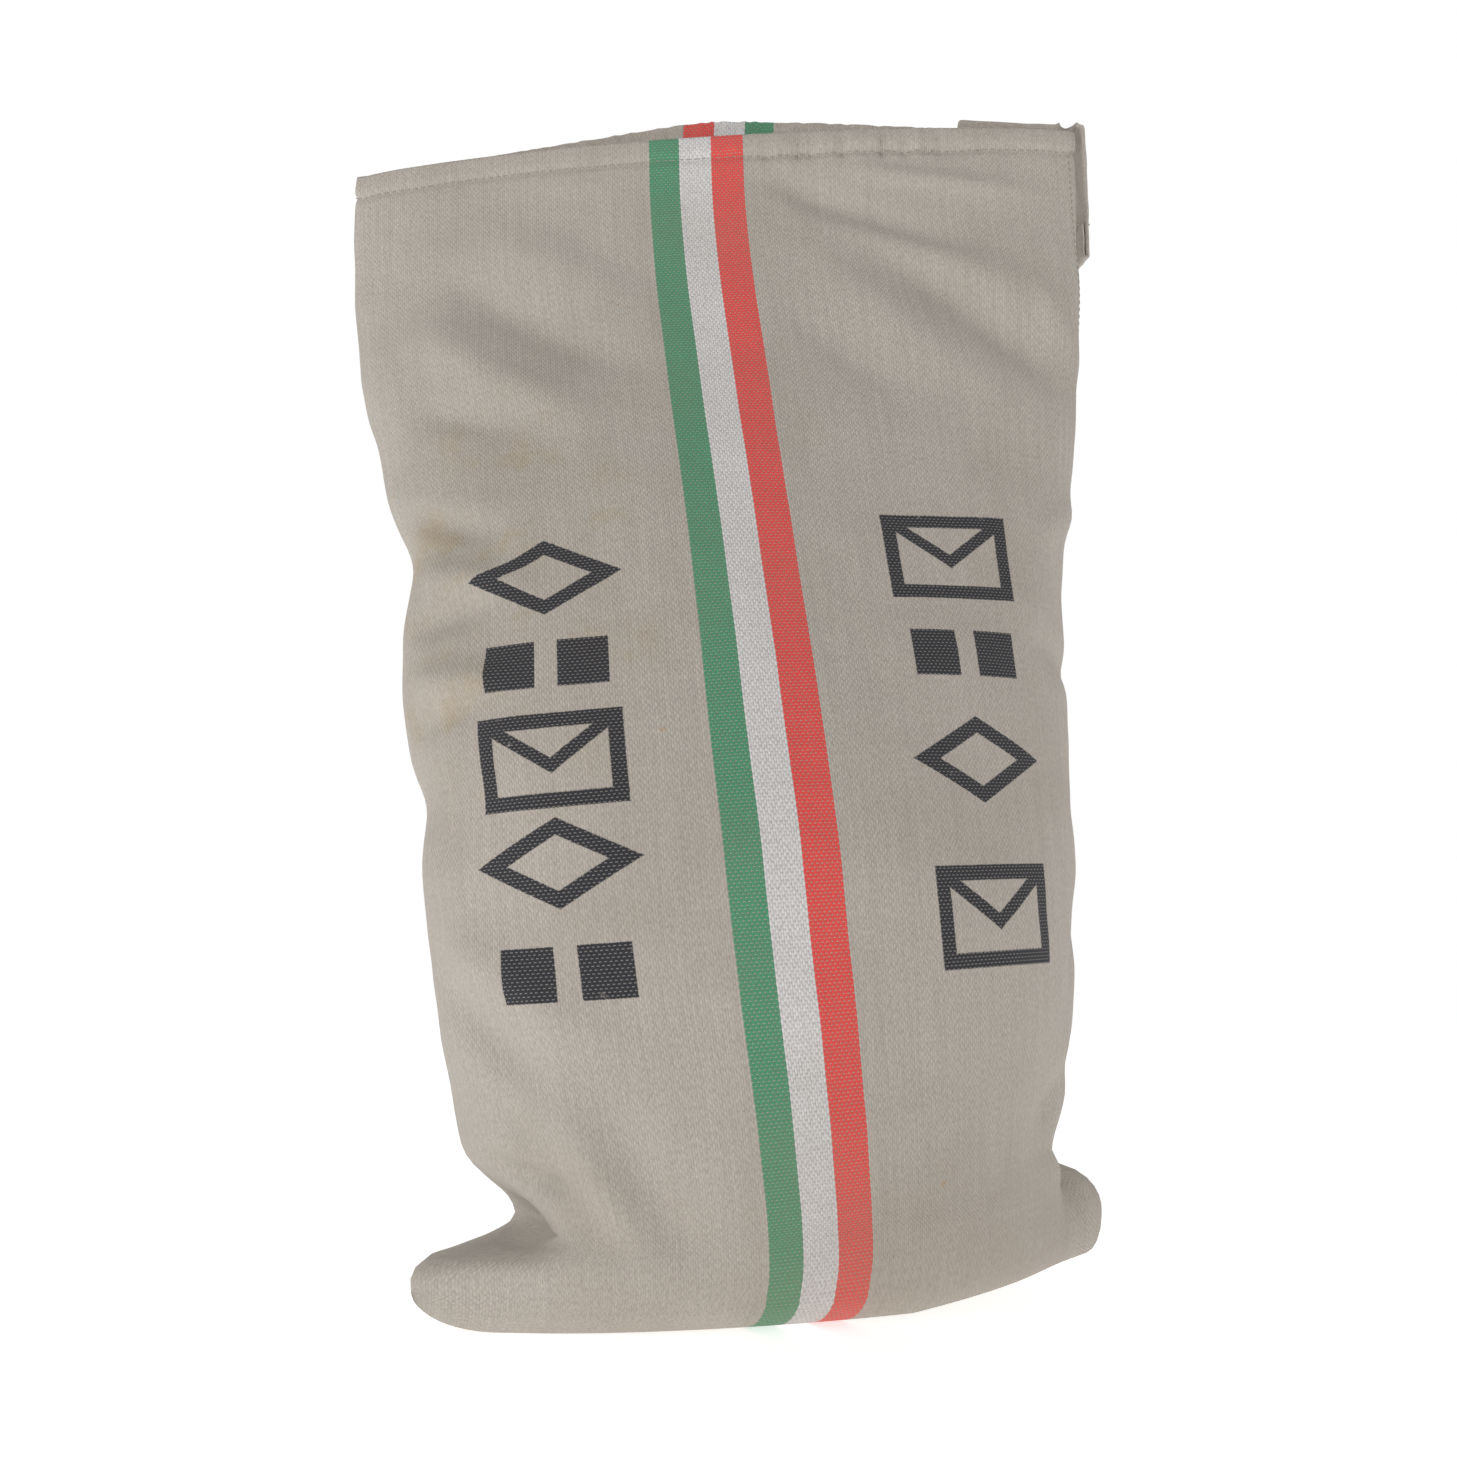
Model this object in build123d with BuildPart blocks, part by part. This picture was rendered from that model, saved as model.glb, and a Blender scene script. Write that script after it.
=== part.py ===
"""Canvas mail sack: one wrapped cloth, sewn down the right side and across the bottom, with a turned-in
mouth hem and a closing strap on the back of the right-hand mouth corner. The sack stands filled on its
bottom and leans back a little. Millimetres, +Z up, +X to the right of the printed front, +Y to the back.
The origin is on the floor, in the middle of the bottom."""

import os
from math import cos, hypot, pi, radians, sin

from build123d import *

# Cloth
CANVAS = 1.5            # thickness of the woven canvas
HEM_WIDTH = 22          # turned-in strip round the mouth
HEM_STITCH_LINE = 20    # from the mouth edge down to the line of stitches
SEAM_ALLOWANCE = 13     # cloth left inside the side and bottom seams
SEAM_LAYERS = 2.4       # thickness of that folded cloth
SEAM_EDGE = 15          # from the right-hand edge to the line of topstitching
OVERLAP = 0.3           # how far sewn layers are pressed into each other

# The filled sack, as level ovals from the floor to above the mouth:
# height, centre x, centre y, half width, half depth, turn about Z in degrees
SECTIONS = [
    (0, 0, 0, 222, 92, 20),
    (32, 0, 0, 256, 120, 20),
    (105, 0, 0, 218, 136, 19),
    (200, -1, 1, 234, 143, 17),
    (300, -7, 6, 242, 141, 14),
    (400, -13, 17, 249, 130, 10),
    (500, -18, 33, 256, 113, 7),
    (600, -24, 50, 269, 90, 4),
    (700, -28, 66, 285, 63, 2),
    (790, -30, 79, 295, 42, 0),
    (860, -30, 88, 299, 30, 0),
    (915, -30, 94, 301, 25, 0),
    (970, -30, 100, 302, 22, 0),
]
OUTLINE_POINTS = 16     # on each oval

# Heights of the mouth edge at the left corner, the middle of each panel and the right corner
MOUTH_LEFT = 893
MOUTH_RIGHT = 938
FRONT_MIDDLE = 919
BACK_MIDDLE = 948
MOUTH_MIDDLE_X = -30
MOUTH_HALF_WIDTH = 302
FRONT, BACK = -1, 1

# The part of the front panel that bows out when the mouth is opened
FLAP_HEIGHT = 560       # height of its bending line
FLAP_HALF_WIDTH = 205
FLAP_GAP = 1.0          # clearance round it

THREAD = 0.9            # height and thickness of a line of stitches

# Closing strap, doubled canvas: sewn along the back hem, bent over the right-hand corner, hanging beside it
STRAP_WIDTH = 28
STRAP_THICK = 3.6
STRAP_ROOT_START = 176  # x where its sewn part begins
STRAP_ROOT_END = 262
STRAP_ABOVE_HEM = 11    # how far its upper edge stands above the back hem
STRAP_SEWN_DEPTH = 17   # how far it reaches down below the mouth edge
STRAP_BEND_X = 279      # line over which the hanging part swings
STRAP_BEND_Z = 942
STRAP_MIDDLE_Y = 108
STRAP_DROP = 116        # length of the hanging part
STRAP_TURN_BACK = 33    # turned-back end
STRAP_STITCH_EDGE = 3   # from the edges of the strap to its stitches
STRAP_BOX_MIDDLE = 206  # x of the middle of the stitched box that holds the strap
STRAP_BOX_WIDTH = 44
BEND_RADIUS = 3.0
HINGE_CLEARANCE = 0.4

BELOW_MOUTH = 800       # all of the mouth is above this height
SEAM_FOOT = 40          # height where the cloth folded inside the side seam begins
SEAM_HEAD = 905
BOTTOM_SEAM_SHORT = 20  # by how much the bottom seam stops short of each corner
FAR = 1200              # beyond the sack in every direction


def section_at(height):
    """The six values of the level oval at a height, in line between the two nearest ones listed."""
    for low, high in zip(SECTIONS, SECTIONS[1:]):
        if height <= high[0]:
            share = (height - low[0]) / (high[0] - low[0])
            return [a + (b - a) * share for a, b in zip(low, high)]
    return SECTIONS[-1]


def level_plane(section):
    """The level plane of a section, with its X axis towards the right-hand edge of the cloth."""
    height, x, y, _, _, turn = section
    return Plane((x, y, height), x_dir=(cos(radians(turn)), sin(radians(turn)), 0), z_dir=(0, 0, 1))


def filled_sack(inset):
    """The closed volume of the filled sack, with its surface an inset inside the outer face of the cloth."""
    with BuildPart() as volume:
        for section in SECTIONS:
            half_width, half_depth = section[3] - inset, section[4] - inset
            turns = [2 * pi * step / OUTLINE_POINTS for step in range(OUTLINE_POINTS)]
            with BuildSketch(level_plane(section)):
                with BuildLine():
                    Spline(*[(half_width * cos(t), half_depth * sin(t)) for t in turns], periodic=True)
                make_face()
        loft()
    return volume.part


def mouth_height(x, side):
    """Height of the mouth edge of the front or back panel: a parabola from corner to corner."""
    t = (x - MOUTH_MIDDLE_X) / MOUTH_HALF_WIDTH
    middle = FRONT_MIDDLE if side == FRONT else BACK_MIDDLE
    return middle + (MOUTH_RIGHT - MOUTH_LEFT) / 2 * t + ((MOUTH_RIGHT + MOUTH_LEFT) / 2 - middle) * t * t


def panel_side(side, lowest):
    """All the space on the front or the back side of the middle of the mouth, above a height."""
    foot, head = section_at(BELOW_MOUTH), SECTIONS[-1]
    slope = (head[2] - foot[2]) / (head[0] - foot[0])
    with BuildPart() as space:
        with BuildSketch(Plane.YZ):
            with BuildLine():
                Polyline(
                    (foot[2] + slope * (lowest - BELOW_MOUTH), lowest),
                    (foot[2] + slope * (FAR - BELOW_MOUTH), FAR),
                    (side * FAR, FAR),
                    (side * FAR, lowest),
                    close=True,
                )
            make_face()
        extrude(amount=FAR, both=True)
    return space.part


def above_mouth(side, drop=0):
    """The space above one panel's mouth edge, moved down by a drop."""
    edge = [MOUTH_MIDDLE_X + MOUTH_HALF_WIDTH * step / 4 for step in range(-5, 6)]
    with BuildPart() as space:
        with BuildSketch(Plane.XZ):
            with BuildLine():
                heights = [(x, mouth_height(x, side) - drop) for x in edge]
                Spline(*heights)
                Polyline(heights[-1], (edge[-1], FAR), (edge[0], FAR), heights[0])
            make_face()
        extrude(amount=FAR, both=True)
        add(panel_side(side, BELOW_MOUTH - 50), mode=Mode.INTERSECT)
    return space.part


def flap_space(gap):
    """The space that holds the part of the front panel that bows out, less a gap on its sides and foot."""
    with BuildPart() as space:
        with BuildSketch(Plane.XZ):
            with Locations((MOUTH_MIDDLE_X, 0)):
                Rectangle(2 * (FLAP_HALF_WIDTH - gap), 2 * FAR)
        extrude(amount=FAR, both=True)
        add(panel_side(FRONT, FLAP_HEIGHT + gap), mode=Mode.INTERSECT)
    return space.part


def hem_thread(side):
    """The line of thread along the lower edge of the hem on one panel."""
    with BuildPart() as line:
        add(thread_skin)
        add(above_mouth(side, HEM_STITCH_LINE), mode=Mode.INTERSECT)
        add(above_mouth(side, HEM_STITCH_LINE - THREAD), mode=Mode.SUBTRACT)
    return line.part


def seam_point(half_width, half_depth):
    """The point of an oval that is SEAM_EDGE round it from its right-hand tip."""
    step, angle, travelled = 0.002, 0.0, 0.0
    while travelled < SEAM_EDGE:
        angle += step
        travelled += step * hypot(half_width * sin(angle), half_depth * cos(angle))
    return half_width * cos(angle), half_depth * sin(angle)


def seam_thread(side):
    """The line of topstitching up one panel beside its right-hand edge, half sunk into the cloth."""
    with BuildPart() as line:
        for section in SECTIONS[2:-1]:
            x, y = seam_point(section[3], section[4])
            with BuildSketch(level_plane(section)):
                with Locations((x, side * y)):
                    Rectangle(2 * THREAD, 2 * THREAD)
        loft()
    return line.part


def side_seam_fold():
    """The folded cloth that runs up the inside of the right-hand edge."""
    middle_in = CANVAS - OVERLAP + SEAM_ALLOWANCE / 2
    with BuildPart() as fold:
        for section in (section_at(SEAM_FOOT), *SECTIONS[2:-2], section_at(SEAM_HEAD)):
            with BuildSketch(level_plane(section)):
                with Locations((section[3] - middle_in, 0)):
                    Rectangle(SEAM_ALLOWANCE, SEAM_LAYERS)
        loft()
    return fold.part


def strap_box(inset):
    """The space in front of and behind the stitched box on the strap, less an inset on every side."""
    with BuildPart() as space:
        add(above_mouth(BACK, STRAP_SEWN_DEPTH - STRAP_STITCH_EDGE - inset))
        add(above_mouth(BACK, STRAP_STITCH_EDGE + inset), mode=Mode.SUBTRACT)
        with BuildSketch():
            with Locations((STRAP_BOX_MIDDLE, 0)):
                Rectangle(STRAP_BOX_WIDTH - 2 * inset, FAR)
        extrude(amount=FAR, mode=Mode.INTERSECT)
    return space.part


os.makedirs("parts", exist_ok=True)
outside = filled_sack(0)
lining = filled_sack(CANVAS)
thread_skin = filled_sack(OVERLAP - THREAD) - filled_sack(OVERLAP)
mouth_space = above_mouth(FRONT) + above_mouth(BACK)
flap_cut = flap_space(0)
flap_whole = flap_space(FLAP_GAP)

# The wrapped cloth, with the part of the front that bows out as a piece of its own
with BuildPart() as hollow:
    add(lining)
    split(bisect_by=Plane.XY.offset(CANVAS), keep=Keep.TOP)

with BuildPart() as whole_cloth:
    add(outside)
    add(hollow.part, mode=Mode.SUBTRACT)
    add(mouth_space, mode=Mode.SUBTRACT)

with BuildPart() as sack_cloth:
    add(whole_cloth.part)
    add(flap_cut, mode=Mode.SUBTRACT)
sack_cloth.part.label = "sack_cloth"
export_step(sack_cloth.part, "parts/sack_cloth.step")

with BuildPart() as mouth_front_cloth:
    add(whole_cloth.part)
    add(flap_whole, mode=Mode.INTERSECT)
mouth_front_cloth.part.label = "mouth_front_cloth"
export_step(mouth_front_cloth.part, "parts/mouth_front_cloth.step")

# The turned-in hem, inside the mouth
with BuildPart() as whole_hem:
    add(filled_sack(CANVAS - OVERLAP))
    add(filled_sack(2 * CANVAS), mode=Mode.SUBTRACT)
    add(above_mouth(FRONT, HEM_WIDTH) + above_mouth(BACK, HEM_WIDTH), mode=Mode.INTERSECT)
    add(mouth_space, mode=Mode.SUBTRACT)

with BuildPart() as mouth_hem:
    add(whole_hem.part)
    add(flap_cut, mode=Mode.SUBTRACT)
mouth_hem.part.label = "mouth_hem"
export_step(mouth_hem.part, "parts/mouth_hem.step")

with BuildPart() as mouth_front_hem:
    add(whole_hem.part)
    add(flap_whole, mode=Mode.INTERSECT)
mouth_front_hem.part.label = "mouth_front_hem"
export_step(mouth_front_hem.part, "parts/mouth_front_hem.step")

# Thread along the lower edge of the hem
front_thread = hem_thread(FRONT)

with BuildPart() as mouth_hem_thread:
    add(hem_thread(BACK))
    add(front_thread - flap_cut)
mouth_hem_thread.part.label = "mouth_hem_thread"
export_step(mouth_hem_thread.part, "parts/mouth_hem_thread.step")

with BuildPart() as mouth_front_thread:
    add(front_thread)
    add(flap_whole, mode=Mode.INTERSECT)
mouth_front_thread.part.label = "mouth_front_thread"
export_step(mouth_front_thread.part, "parts/mouth_front_thread.step")

# The side seam: cloth folded inside the right-hand edge, and topstitching on both panels
with BuildPart() as side_seam_allowance:
    add(side_seam_fold())
side_seam_allowance.part.label = "side_seam_allowance"
export_step(side_seam_allowance.part, "parts/side_seam_allowance.step")

with BuildPart() as side_seam_thread:
    add(seam_thread(FRONT))
    add(seam_thread(BACK))
side_seam_thread.part.label = "side_seam_thread"
export_step(side_seam_thread.part, "parts/side_seam_thread.step")

# The bottom seam, lying on the inside of the bottom
bottom_length = 2 * (SECTIONS[0][3] - BOTTOM_SEAM_SHORT)
with BuildPart() as bottom_seam_allowance:
    with BuildSketch(level_plane(SECTIONS[0]).offset(CANVAS - OVERLAP)):
        Rectangle(bottom_length, SEAM_ALLOWANCE)
    extrude(amount=SEAM_LAYERS)
bottom_seam_allowance.part.label = "bottom_seam_allowance"
export_step(bottom_seam_allowance.part, "parts/bottom_seam_allowance.step")

with BuildPart() as bottom_seam_thread:
    with BuildSketch(level_plane(SECTIONS[0]).offset(CANVAS + SEAM_LAYERS - 2 * OVERLAP)):
        Rectangle(bottom_length - SEAM_ALLOWANCE, THREAD)
    extrude(amount=THREAD)
bottom_seam_thread.part.label = "bottom_seam_thread"
export_step(bottom_seam_thread.part, "parts/bottom_seam_thread.step")

# Closing strap: the part sewn behind the back hem, then bent flat over the mouth corner
with BuildPart() as closing_strap_root:
    add(filled_sack(-STRAP_THICK))
    add(filled_sack(0), mode=Mode.SUBTRACT)
    add(above_mouth(BACK, STRAP_SEWN_DEPTH), mode=Mode.INTERSECT)
    add(above_mouth(BACK, -STRAP_ABOVE_HEM), mode=Mode.SUBTRACT)
    with BuildSketch():
        with Locations(((STRAP_ROOT_START + STRAP_ROOT_END) / 2, 0)):
            Rectangle(STRAP_ROOT_END - STRAP_ROOT_START, FAR)
    extrude(amount=FAR, mode=Mode.INTERSECT)
closing_strap_root.part.label = "closing_strap_root"
export_step(closing_strap_root.part, "parts/closing_strap_root.step")

strap_back = STRAP_MIDDLE_Y + STRAP_WIDTH / 2
bend_plane = Plane.XZ.offset(-strap_back)

with BuildPart() as closing_strap_bend:
    with BuildSketch(bend_plane):
        with Locations(((STRAP_ROOT_END + STRAP_BEND_X) / 2, STRAP_BEND_Z)):
            Rectangle(STRAP_BEND_X - STRAP_ROOT_END, STRAP_THICK)
        with Locations((STRAP_BEND_X, STRAP_BEND_Z)):
            Circle(BEND_RADIUS + HINGE_CLEARANCE, mode=Mode.SUBTRACT)
    extrude(amount=STRAP_WIDTH)
closing_strap_bend.part.label = "closing_strap_bend"
export_step(closing_strap_bend.part, "parts/closing_strap_bend.step")

with BuildPart() as closing_strap_root_thread:
    add(filled_sack(-STRAP_THICK - THREAD + OVERLAP))
    add(filled_sack(-STRAP_THICK + OVERLAP), mode=Mode.SUBTRACT)
    add(strap_box(0), mode=Mode.INTERSECT)
    add(strap_box(THREAD), mode=Mode.SUBTRACT)
closing_strap_root_thread.part.label = "closing_strap_root_thread"
export_step(closing_strap_root_thread.part, "parts/closing_strap_root_thread.step")

# Closing strap: the hanging part, with its end turned back towards the sack and sewn
with BuildPart() as closing_strap_tail:
    with BuildSketch(bend_plane):
        with Locations((STRAP_BEND_X, STRAP_BEND_Z)):
            Circle(BEND_RADIUS)
        with Locations((STRAP_BEND_X, STRAP_BEND_Z - STRAP_DROP / 2)):
            Rectangle(STRAP_THICK, STRAP_DROP)
    extrude(amount=STRAP_WIDTH)
closing_strap_tail.part.label = "closing_strap_tail"
export_step(closing_strap_tail.part, "parts/closing_strap_tail.step")

turned_x = STRAP_BEND_X - STRAP_THICK + OVERLAP
with BuildPart() as closing_strap_turned_end:
    with BuildSketch(bend_plane):
        with Locations((turned_x, STRAP_BEND_Z - STRAP_DROP + STRAP_TURN_BACK / 2)):
            Rectangle(STRAP_THICK, STRAP_TURN_BACK)
    extrude(amount=STRAP_WIDTH)
closing_strap_turned_end.part.label = "closing_strap_turned_end"
export_step(closing_strap_turned_end.part, "parts/closing_strap_turned_end.step")

thread_z = STRAP_BEND_Z - STRAP_DROP + STRAP_TURN_BACK - STRAP_STITCH_EDGE - THREAD
with BuildPart() as closing_strap_end_thread:
    with BuildSketch(Plane.XY.offset(thread_z)):
        for x in (turned_x - STRAP_THICK / 2, STRAP_BEND_X + STRAP_THICK / 2):
            with Locations((x, STRAP_MIDDLE_Y)):
                Rectangle(THREAD, STRAP_WIDTH - 2 * STRAP_STITCH_EDGE)
    extrude(amount=THREAD)
closing_strap_end_thread.part.label = "closing_strap_end_thread"
export_step(closing_strap_end_thread.part, "parts/closing_strap_end_thread.step")
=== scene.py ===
"""Looks of the canvas mail sack: one woven cloth with stripes and printed marks, its hem,
stitches, seam allowances and strap.

Places on the cloth are flat-cloth coordinates in metres. u runs round the sack, from the
left-hand fold across the front to the right-hand seam and back across the rear to the fold.
v runs up from the bottom seam to the mouth edge.
"""

import math

import bpy
import numpy as np
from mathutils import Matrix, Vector, noise


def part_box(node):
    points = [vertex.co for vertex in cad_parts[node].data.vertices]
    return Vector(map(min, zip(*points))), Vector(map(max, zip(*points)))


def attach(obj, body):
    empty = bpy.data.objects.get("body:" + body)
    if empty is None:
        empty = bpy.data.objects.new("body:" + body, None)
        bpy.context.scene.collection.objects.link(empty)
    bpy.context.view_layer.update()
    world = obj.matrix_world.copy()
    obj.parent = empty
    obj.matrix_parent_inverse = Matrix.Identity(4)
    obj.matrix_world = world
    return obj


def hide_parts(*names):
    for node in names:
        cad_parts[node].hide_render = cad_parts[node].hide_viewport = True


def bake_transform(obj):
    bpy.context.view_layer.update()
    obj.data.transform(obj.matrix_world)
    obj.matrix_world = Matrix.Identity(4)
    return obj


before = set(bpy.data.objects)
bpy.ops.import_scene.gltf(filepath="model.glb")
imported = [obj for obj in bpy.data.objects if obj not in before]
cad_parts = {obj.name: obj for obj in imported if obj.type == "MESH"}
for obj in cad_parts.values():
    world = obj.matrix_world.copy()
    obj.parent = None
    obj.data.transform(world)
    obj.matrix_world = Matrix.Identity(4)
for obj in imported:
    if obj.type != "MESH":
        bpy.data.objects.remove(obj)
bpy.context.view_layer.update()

# ---------------------------------------------------------------- sizes, in metres
PANEL = 0.600                   # flat width of the sack
GIRTH = 2 * PANEL
COLUMNS = 264                   # points round the girth
BOTTOM_ROWS = 16
BODY_ROWS = 118
NECK_ROWS = 32                  # close together, for the gathers below the hem
NECK_SHARE = 0.075              # of the height
CANVAS = 0.0013
HEM_WIDTH = 0.021
HEM_ROWS = 5
RIM_RADIUS = 0.0014             # of the turned-over mouth edge
HEM_STITCHES = 0.020            # from the mouth edge down to the stitches
SEAM_STITCHES = 0.015           # from the right-hand edge in to the stitches
SEAM_STITCHED = 0.80            # length of the topstitching, down from the hem
ALLOWANCE_BOTTOM = 0.018        # widths of the seam allowances
ALLOWANCE_SIDE = 0.013
ALLOWANCE_THICK = 0.0026        # of their folded layers
ALLOWANCE_REACH = 0.195         # of the bottom allowance, to each side of the middle
SIDE_FOLD_HEIGHTS = (0.06, 0.90)
THREAD = 0.0009
STITCH = 0.0040
STITCH_PITCH = 0.0062

# Level ovals of the filled sack: height, centre x and y, half width and depth, turn in degrees
SECTIONS = np.array([
    (0.000, 0.013, 0.003, 0.214, 0.098, 22),
    (0.032, 0.013, 0.003, 0.223, 0.117, 22),
    (0.070, 0.010, 0.002, 0.221, 0.129, 21),
    (0.105, 0.007, 0.000, 0.220, 0.135, 20),
    (0.200, 0.005, 0.001, 0.235, 0.143, 17),
    (0.300, 0.001, 0.006, 0.243, 0.141, 14),
    (0.400, -0.008, 0.017, 0.250, 0.130, 10),
    (0.500, -0.013, 0.033, 0.257, 0.113, 7),
    (0.600, -0.019, 0.050, 0.271, 0.090, 4),
    (0.700, -0.027, 0.066, 0.290, 0.063, 2),
    (0.790, -0.031, 0.079, 0.299, 0.042, 0),
    (0.860, -0.032, 0.088, 0.302, 0.031, 0),
    (0.915, -0.031, 0.094, 0.304, 0.026, 0),
    (0.970, -0.031, 0.100, 0.305, 0.022, 0),
])

# Mouth edge: heights of its corners and of the middle of each panel
MOUTH_LEFT, MOUTH_RIGHT = 0.893, 0.938
FRONT_MIDDLE, BACK_MIDDLE = 0.920, 0.961

# How far the cloth has slid round the contents, to the right on the front, by height
SLIP = np.array([
    (0.000, 0.0000), (0.030, 0.0010), (0.080, 0.0030), (0.140, 0.0028),
    (0.220, 0.0013), (0.300, 0.0028), (0.340, 0.0065), (0.390, 0.0118),
    (0.440, 0.0145), (0.500, 0.0154), (0.565, 0.0166), (0.630, 0.0170),
    (0.700, 0.0172), (0.780, 0.0139), (0.860, 0.0090), (0.970, 0.0040),
])

# The two bottom corners stick out as ears, with the cloth pinched in above each:
# height of the tip, reach, half height, height of the pinch, depth of the pinch
LEFT_EAR = (0.025, 0.037, 0.030, 0.058, 0.066)
RIGHT_EAR = (0.056, 0.050, 0.036, 0.102, 0.017)
PINCH_ABOVE, PINCH_BELOW = 0.031, 0.007     # how far the pinch reaches up and down
EAR_SPREAD = 16.0               # degrees round the oval
PINCH_SPREAD = 1.8 * EAR_SPREAD

# The rounded ends of the bottom, left and right: the share of the half width where they begin,
# and the share they take up
LEFT_END, RIGHT_END = (0.80, 0.20), (0.92, 0.08)
BOTTOM_LIFT, LIFT_FROM = 0.032, 0.25        # the rise to the right, from this share out

# Dents in the left-hand edge: height, size, depth
EDGE_DENTS = [(0.535, 0.038, 0.014), (0.345, 0.028, 0.008), (0.430, 0.030, -0.002)]
DENT_SPREAD = 38                # degrees round the oval

# Unevenness all over the cloth: height, size and seed
UNEVENNESS = [(0.0040, 0.17, 3.0), (0.0018, 0.060, 11.0), (0.0006, 0.024, 29.0)]

HEM_ROLL = 0.0020               # how far the hem stands out, and its groove draws in
HEM_GROOVE = 0.0022
GATHER_HEIGHT, GATHER_PITCH = 0.0024, 0.0175

STRIPE_BAND = 0.0254            # width of each of the three colours
FRONT_STRIPE = 0.2765           # u of the middle of each stripe
BACK_STRIPE = 0.885


# ---------------------------------------------------------------- the shape of the cloth
def smooth(t):
    t = np.clip(t, 0, 1)
    return t * t * (3 - 2 * t)


def bell(distance, width):
    return np.exp(-((distance / width) ** 2))


def through(table, places):
    """Smooth values between the rows of a table, whose first column is the place."""
    at, values = table[:, 0], table[:, 1:]
    slopes = np.gradient(values, at, axis=0)
    i = np.clip(np.searchsorted(at, places) - 1, 0, len(at) - 2)
    gap = (at[i + 1] - at[i])[..., None]
    t = (places[..., None] - at[i][..., None]) / gap
    return (
        (2 * t**3 - 3 * t**2 + 1) * values[i]
        + (t**3 - 2 * t**2 + t) * gap * slopes[i]
        + (3 * t**2 - 2 * t**3) * values[i + 1]
        + (t**3 - t**2) * gap * slopes[i + 1]
    )


def angle_on_oval(u, half_width, half_depth):
    """Angle of the points at u on each row's oval.

    pi is the left-hand edge and 3/2 pi the middle of the front.
    """
    steps = np.linspace(0, 2 * math.pi, 721)
    middles = (steps[1:] + steps[:-1]) / 2
    angles = np.empty_like(u)
    for row in range(u.shape[0]):
        speed = np.hypot(half_width[row] * np.sin(middles), half_depth[row] * np.cos(middles))
        travelled = np.concatenate([[0], np.cumsum(speed)])
        share = np.mod(u[row] / GIRTH + 0.5, 1.0)
        angles[row] = np.interp(share * travelled[-1], travelled, steps)
    return angles


def mouth_edge(u):
    """Height of the mouth edge round the girth."""
    front = u <= PANEL
    t = np.where(front, u / PANEL, (GIRTH - u) / PANEL) * 2 - 1
    middle = np.where(front, FRONT_MIDDLE, BACK_MIDDLE)
    droop = np.where(front, t * t, np.abs(t) ** 1.4)
    tilt = (MOUTH_RIGHT - MOUTH_LEFT) / 2 * t
    return middle + tilt + ((MOUTH_RIGHT + MOUTH_LEFT) / 2 - middle) * droop


def row_shares():
    """The rows of the cloth: -1 at the bottom seam, 0 at the ears and 1 at the mouth edge."""
    bottom = np.linspace(-1, 0, BOTTOM_ROWS, endpoint=False)
    body = np.linspace(0, 1 - NECK_SHARE, BODY_ROWS, endpoint=False)
    return np.concatenate([bottom, body, np.linspace(1 - NECK_SHARE, 1, NECK_ROWS)])


def filled_cloth(shares, u_line):
    """The outer face of the filled sack, as a grid of points: rows up, columns round."""
    share, u = np.meshgrid(shares, u_line, indexing="ij")
    leftness = np.abs(np.mod(u / PANEL, 2) - 1)
    ear_level = RIGHT_EAR[0] + (LEFT_EAR[0] - RIGHT_EAR[0]) * smooth(leftness)
    z = ear_level + (mouth_edge(u) - ear_level) * np.clip(share, 0, 1)
    centre_x, centre_y, half_width, half_depth, turn = np.moveaxis(through(SECTIONS, z), -1, 0)
    angle = angle_on_oval(u + through(SLIP, z)[..., 0], half_width.mean(1), half_depth.mean(1))

    # the slack neck is a flat lens with a fold at each edge
    flatness = 1 + 0.3 * smooth((z - 0.50) / 0.3)
    x = half_width * np.cos(angle)
    y = half_depth * np.sign(np.sin(angle)) * np.abs(np.sin(angle)) ** flatness

    # ears at the bottom corners, and the cloth pinched in above them
    degrees = np.degrees(angle)
    from_left, from_right = np.abs(degrees - 180), np.minimum(degrees, 360 - degrees)
    for ear, away, side in ((LEFT_EAR, from_left, -1), (RIGHT_EAR, from_right, 1)):
        tip, reach, half_height, pinch_height, pinch_depth = ear
        rounded = np.sqrt(np.clip(1 - ((z - tip) / half_height) ** 2, 0, 1)) ** 1.2
        lobe = reach * bell(away, EAR_SPREAD) * rounded
        over = z - pinch_height
        pinch_size = np.where(over > 0, PINCH_ABOVE, PINCH_BELOW)
        pinch = pinch_depth * bell(away, PINCH_SPREAD) * bell(over, pinch_size)
        x += side * (lobe - pinch)
    for place, size, depth in EDGE_DENTS:
        x += depth * bell(from_left, DENT_SPREAD) * bell(z - place, size)

    # the bottom: in under the sack, from the level of the ears down to the bottom seam on the floor
    under = share < 0
    q = np.clip(share + 1, 0, 1)
    y *= np.where(under, q**0.9, 1.0)
    tip_x = np.where(x < 0, half_width + LEFT_EAR[1], half_width + RIGHT_EAR[1])
    reach = np.abs(x) / tip_x
    end_from, end_share = (np.where(x < 0, *pair) for pair in zip(LEFT_END, RIGHT_END))
    end = np.clip((reach - end_from) / end_share, 0, 1)
    lift = np.where(x < 0, 0.0, BOTTOM_LIFT * np.clip(reach - LIFT_FROM, 0, 1))
    seam_height = lift + (ear_level - lift) * (1 - np.sqrt(1 - end**2))
    rise = 1 - np.sqrt(1 - np.clip((q - 0.5) / 0.5, 0, 1) ** 2)
    z = np.where(under, seam_height + (ear_level - seam_height) * rise, z)

    a = np.radians(turn)
    return np.stack([
        centre_x + x * np.cos(a) - y * np.sin(a),
        centre_y + x * np.sin(a) + y * np.cos(a),
        z,
    ], -1)


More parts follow.
